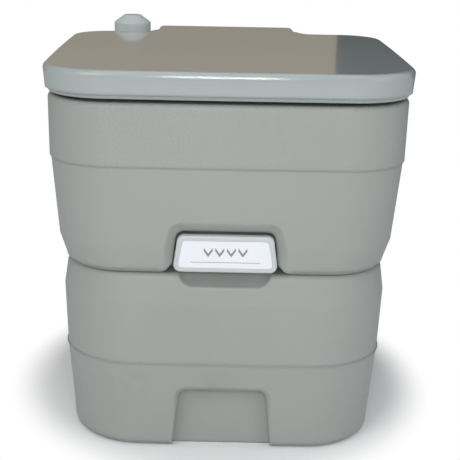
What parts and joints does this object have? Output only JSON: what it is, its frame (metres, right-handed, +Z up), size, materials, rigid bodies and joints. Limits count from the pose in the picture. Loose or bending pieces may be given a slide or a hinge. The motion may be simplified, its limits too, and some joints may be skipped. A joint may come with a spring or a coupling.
{
  "type": "portable chemical toilet",
  "caption": "Portable chemical toilet: fresh water tank with bowl, seat and lid on a removable waste tank, slide valve, piston flush pump, swivel pour-out spout.",
  "frame": {"origin": "middle of the footprint on the floor", "axes": "+Z up, -Y towards the front with the pull handle, +X to the user's right seen from the front"},
  "size_m": [0.365, 0.4075, 0.4065],
  "materials": {
    "tank_plastic": "fine leather grain",
    "lid_plastic": "high gloss",
    "handle_frame": "satin",
    "label_white": "satin",
    "spout_plastic": "satin",
    "valve_plastic": "satin",
    "inner_plastic": "satin",
    "rubber_black": "matt",
    "steel_bright": "bright"
  },
  "bodies": {
    "waste_tank": {"waste_tank": "tank_plastic", "valve_base": "valve_plastic", "valve_cover": "valve_plastic", "valve_lower_seal": "rubber_black", "valve_upper_seal": "rubber_black", "valve_screws": "steel_bright", "spout_nut": "spout_plastic", "spout_seal": "rubber_black", "vent_spring": "steel_bright"},
    "slide_valve": {"valve_blade": "valve_plastic", "pull_handle": "handle_frame", "label_plate": "label_white", "handle_screws": "steel_bright"},
    "spout": {"pour_spout": "spout_plastic"},
    "spout_gasket": {"spout_cap_seal": "rubber_black"},
    "spout_cap": {"spout_cap": "handle_frame"},
    "vent": {"vent_button": "handle_frame", "vent_seal": "rubber_black"},
    "fresh_tank": {"fresh_tank": "tank_plastic", "bowl": "lid_plastic", "flush_nozzle": "inner_plastic", "flush_pipe": "inner_plastic", "pump_body": "inner_plastic", "pump_collar": "spout_plastic", "foot_valve": "inner_plastic", "latch_pins": "steel_bright", "hinge_pins": "steel_bright", "pump_spring": "steel_bright"},
    "pump": {"pump_knob": "handle_frame", "pump_rod": "inner_plastic", "piston": "inner_plastic", "piston_seal": "rubber_black"},
    "filler_gasket": {"fill_cap_seal": "rubber_black"},
    "fill_cap": {"fill_cap": "handle_frame"},
    "seat": {"seat": "lid_plastic", "seat_bumpers": "rubber_black"},
    "lid": {"lid": "lid_plastic", "lid_bumpers": "rubber_black"},
    "latch_left": {"latch_left": "valve_plastic"},
    "latch_right": {"latch_right": "valve_plastic"}
  },
  "joints": [
    {"name": "valve_slide", "type": "slide", "parent": "waste_tank", "child": "slide_valve", "axis": [0, -1, 0], "range_m": [0, 0.098]},
    {"name": "spout_swing", "type": "hinge", "parent": "waste_tank", "child": "spout", "pos_m": [-0.085, 0.157, 0.156], "axis": [0, 0, 1], "range_deg": [0, 90]},
    {"name": "spout_cap_off", "type": "slide", "parent": "spout", "child": "spout_gasket", "axis": [1, 0, 0], "range_m": [0, 0.018]},
    {"name": "spout_cap_turn", "type": "hinge", "parent": "spout_gasket", "child": "spout_cap", "pos_m": [0.075, 0.157, 0.156], "axis": [1, 0, 0], "range_deg": [0, 270]},
    {"name": "vent_press", "type": "slide", "parent": "waste_tank", "child": "vent", "axis": [0, 0, -1], "range_m": [0, 0.006], "stiffness_N_per_m": 300, "springref_m": -0.002, "deforming": ["vent_spring"]},
    {"name": "fresh_tank_lift", "type": "slide", "parent": "waste_tank", "child": "fresh_tank", "axis": [0, 0, 1], "range_m": [0, 0.15]},
    {"name": "pump_stroke", "type": "slide", "parent": "fresh_tank", "child": "pump", "axis": [0, 0, -1], "range_m": [0, 0.033], "stiffness_N_per_m": 200, "springref_m": -0.01, "deforming": ["pump_spring"]},
    {"name": "fill_cap_off", "type": "slide", "parent": "fresh_tank", "child": "filler_gasket", "axis": [0, 0, 1], "range_m": [0, 0.035]},
    {"name": "fill_cap_turn", "type": "hinge", "parent": "filler_gasket", "child": "fill_cap", "pos_m": [0.12, 0.168, 0.36], "axis": [0, 0, 1], "range_deg": [0, 270]},
    {"name": "seat_hinge", "type": "hinge", "parent": "fresh_tank", "child": "seat", "pos_m": [0, 0.188, 0.374], "axis": [-1, 0, 0], "range_deg": [0, 92]},
    {"name": "lid_hinge", "type": "hinge", "parent": "seat", "child": "lid", "pos_m": [0, 0.188, 0.374], "axis": [-1, 0, 0], "range_deg": [0, 95]},
    {"name": "latch_left_swing", "type": "hinge", "parent": "fresh_tank", "child": "latch_left", "pos_m": [-0.155, 0.045, 0.224], "axis": [0, 1, 0], "range_deg": [0, 60]},
    {"name": "latch_right_swing", "type": "hinge", "parent": "fresh_tank", "child": "latch_right", "pos_m": [0.155, 0.045, 0.224], "axis": [0, -1, 0], "range_deg": [0, 60]}
  ]
}
